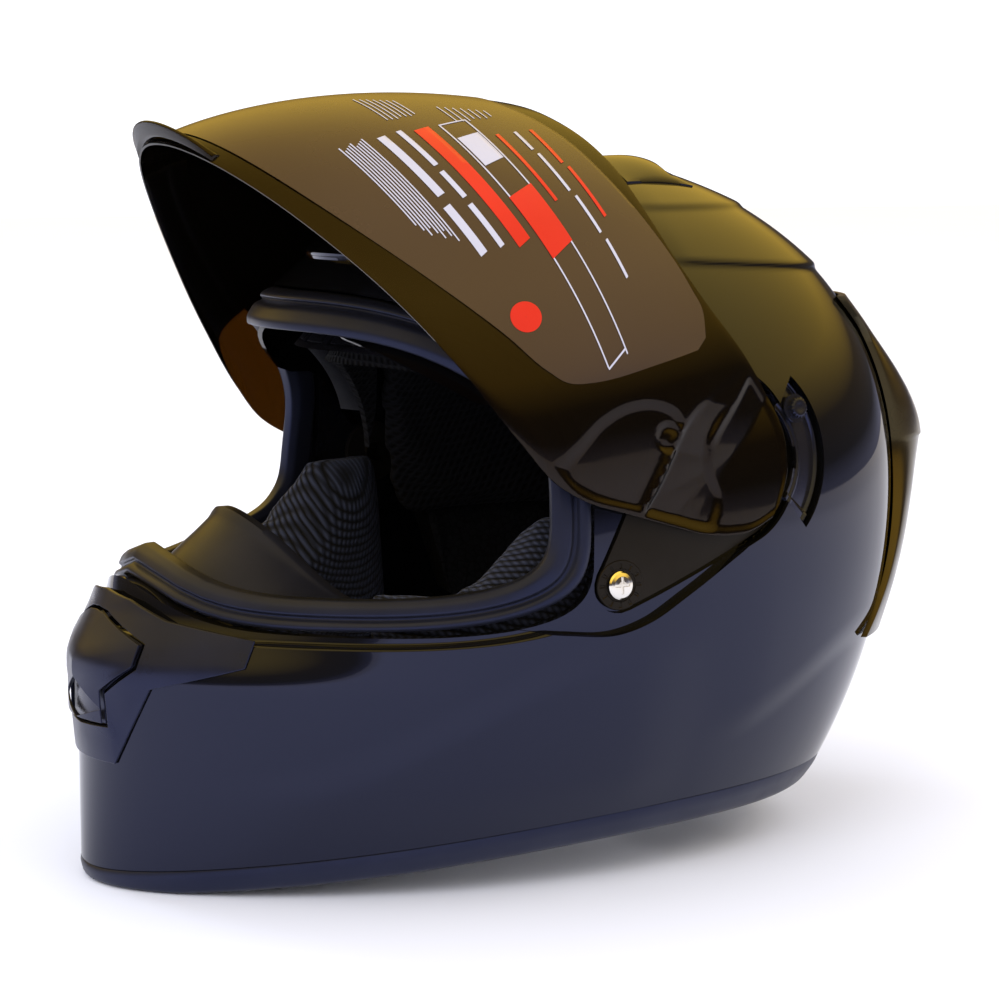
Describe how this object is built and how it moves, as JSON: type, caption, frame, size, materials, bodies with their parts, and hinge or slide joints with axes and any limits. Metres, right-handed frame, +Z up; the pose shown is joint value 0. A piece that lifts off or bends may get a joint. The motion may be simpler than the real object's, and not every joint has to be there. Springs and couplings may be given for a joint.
{
  "type": "full-face motorcycle helmet",
  "caption": "Glossy black full-face motorcycle helmet with a hinged smoke visor, drop-down sun shield, chin vent, rear spoiler, padded lining and a double-ring chin strap.",
  "frame": {"origin": "centre of the bounding box on the plane the helmet stands on", "axes": "+Z up, the face opening looks towards -Y, the wearer's left is +X"},
  "size_m": [0.2446, 0.3616, 0.2846],
  "materials": {
    "shell_gloss_black": "gloss clear-coated black",
    "foam_grey": "matte expanded foam",
    "knit_black": "open knit",
    "brushed_lining": "brushed tricot",
    "brow_leatherette": "embossed leather-look",
    "rubber_black": "matte rubber",
    "matte_black": "matte",
    "satin_dark": "satin",
    "smoke_visor": "smoke tint",
    "film_brown": "clear film, brown tint",
    "smoke_shield": "dark smoke",
    "steel_polished": "polished",
    "hinge_plastic": "matte",
    "webbing_black": "woven webbing"
  },
  "bodies": {
    "helmet": {"shell": "shell_gloss_black", "eps_liner": "foam_grey", "chin_foam": "foam_grey", "crown_pad": "knit_black", "brow_band": "brow_leatherette", "cheek_pad_left": "knit_black", "cheek_pad_right": "knit_black", "neck_roll": "brushed_lining", "eyeport_gasket": "rubber_black", "base_trim": "rubber_black", "rear_spoiler": "satin_dark", "chin_vent_frame": "matte_black", "crown_vent": "shell_gloss_black", "breath_guard": "matte_black", "base_plate_left": "hinge_plastic", "base_plate_right": "hinge_plastic", "pivot_sockets": "hinge_plastic", "base_plate_screws": "steel_polished", "sun_shield_pins": "steel_polished", "sun_lever_track": "matte_black", "strap_left": "webbing_black", "strap_right": "webbing_black", "strap_rivets": "steel_polished", "strap_ring_sleeve": "webbing_black"},
    "visor_assembly": {"visor": "smoke_visor", "visor_film": "film_brown", "visor_spigots": "hinge_plastic"},
    "sun_shield_assembly": {"sun_shield": "smoke_shield", "sun_shield_hubs": "hinge_plastic"},
    "sun_lever_body": {"sun_lever": "matte_black"},
    "chin_vent_shutter": {"chin_vent_slider": "matte_black"},
    "ring_outer": {"strap_ring_outer": "steel_polished"},
    "ring_inner": {"strap_ring_inner": "steel_polished"}
  },
  "joints": [
    {"name": "visor_hinge", "type": "hinge", "parent": "helmet", "child": "visor_assembly", "pos_m": [0, 0.03, 0.155], "axis": [1, 0, 0], "range_deg": [-4, 46]},
    {"name": "sun_lever_hinge", "type": "hinge", "parent": "helmet", "child": "sun_lever_body", "pos_m": [0.11197, 0.042, 0.154], "axis": [0.9779, 0.0891, 0.1894], "range_deg": [-64, 0]},
    {"name": "sun_shield_hinge", "type": "hinge", "parent": "helmet", "child": "sun_shield_assembly", "pos_m": [0, 0, 0.136], "axis": [1, 0, 0], "range_deg": [0, 36]},
    {"name": "chin_vent_slide", "type": "slide", "parent": "helmet", "child": "chin_vent_shutter", "axis": [0, 0.2873, 0.9578], "range_m": [-0.006, 0]},
    {"name": "ring_outer_hinge", "type": "hinge", "parent": "helmet", "child": "ring_outer", "pos_m": [0.0593, 0.028, 0.026], "axis": [0, 1, 0], "range_deg": [-30, 60]},
    {"name": "ring_inner_hinge", "type": "hinge", "parent": "helmet", "child": "ring_inner", "pos_m": [0.0657, 0.028, 0.026], "axis": [0, 1, 0], "range_deg": [-20, 60]}
  ],
  "couplings": [
    {"joint": "sun_shield_hinge", "follows": "sun_lever_hinge", "ratio": -0.5625}
  ]
}
